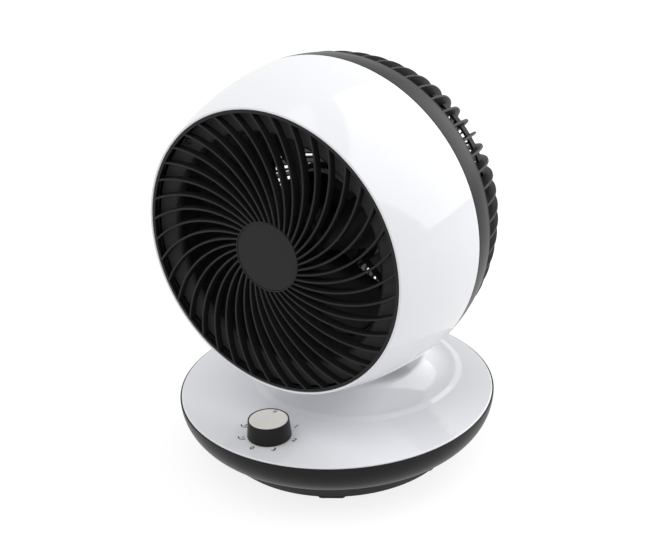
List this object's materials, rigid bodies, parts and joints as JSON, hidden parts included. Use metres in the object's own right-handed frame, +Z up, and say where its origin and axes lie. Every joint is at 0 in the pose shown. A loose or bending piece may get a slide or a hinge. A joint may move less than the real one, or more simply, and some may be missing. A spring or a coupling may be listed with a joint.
{
  "type": "table fan",
  "caption": "Drum-headed air circulator fan with a spiral front guard, bladed impeller and finned rear guard, swinging and tilting on a round base with a dial.",
  "frame": {"origin": "on the floor under the middle of the round base", "axes": "+Z up, the air leaves towards -Y, +X to the right as seen from the front"},
  "size_m": [0.2524, 0.2524, 0.3197],
  "materials": {
    "white_gloss": "glossy white",
    "charcoal_satin": "satin charcoal",
    "charcoal_matt": "fine matt charcoal",
    "grey_plastic": "satin grey",
    "pale_plastic": "satin, pale",
    "cream_satin": "fine satin, cream",
    "rubber": "matt black",
    "steel": "plain",
    "steel_can": "zinc grey",
    "black_metal": "cast, painted satin black",
    "copper": "enamelled copper wire",
    "brass": "plain"
  },
  "bodies": {
    "base": {"base_cover": "white_gloss", "base_lower_shell": "charcoal_satin", "bottom_plate": "charcoal_matt", "rubber_feet": "rubber", "ballast_plate": "steel", "base_screws": "steel", "cord_grommet": "rubber", "chassis_frame": "grey_plastic", "thrust_washer": "pale_plastic", "pan_motor": "steel_can", "run_capacitor": "pale_plastic", "terminal_block": "pale_plastic", "rotary_switch": "grey_plastic", "switch_nut": "steel"},
    "dial": {"switch_spindle": "steel", "knob_body": "charcoal_satin", "knob_cap": "cream_satin"},
    "swing": {"turntable": "white_gloss", "pan_shaft": "steel", "lead_gland": "rubber", "pan_gear": "pale_plastic", "neck_fork": "charcoal_satin", "fork_screws": "steel", "tilt_pin": "steel", "tilt_washers": "pale_plastic"},
    "pinion": {"pan_pinion": "brass"},
    "head": {"tilt_bracket": "charcoal_satin", "front_shell": "white_gloss", "rear_cover": "charcoal_satin", "air_duct": "charcoal_matt", "head_screws": "steel", "front_grille": "charcoal_matt", "grille_hub_cap": "charcoal_matt", "rear_guard": "charcoal_matt", "motor_front_case": "black_metal", "motor_rear_case": "black_metal", "front_bearing": "brass", "rear_bearing": "brass", "stator_core": "steel_can", "stator_windings": "copper", "motor_bracket": "charcoal_matt"},
    "impeller": {"impeller": "charcoal_satin", "impeller_nut": "charcoal_matt", "motor_shaft": "steel", "rotor_core": "steel_can"}
  },
  "joints": [
    {"name": "swing", "type": "hinge", "parent": "base", "child": "swing", "pos_m": [0, 0.03, 0.03], "axis": [0, 0, 1], "range_deg": [-40, 40]},
    {"name": "pinion", "type": "hinge", "parent": "base", "child": "pinion", "pos_m": [-0.03932, 0.00247, 0.016], "axis": [0, 0, 1], "range_deg": [-121, 121]},
    {"name": "tilt", "type": "hinge", "parent": "swing", "child": "head", "pos_m": [0, 0.017, 0.072], "axis": [-1, 0, 0], "range_deg": [-5, 20]},
    {"name": "impeller", "type": "hinge", "parent": "head", "child": "impeller", "pos_m": [0, -0.035, 0.1935], "axis": [0, -1, 0], "continuous": true},
    {"name": "dial", "type": "hinge", "parent": "base", "child": "dial", "pos_m": [0, -0.0927, 0.055], "axis": [0, 0, 1], "range_deg": [-150, 150]}
  ],
  "couplings": [
    {"joint": "pinion", "follows": "swing", "ratio": -3}
  ]
}
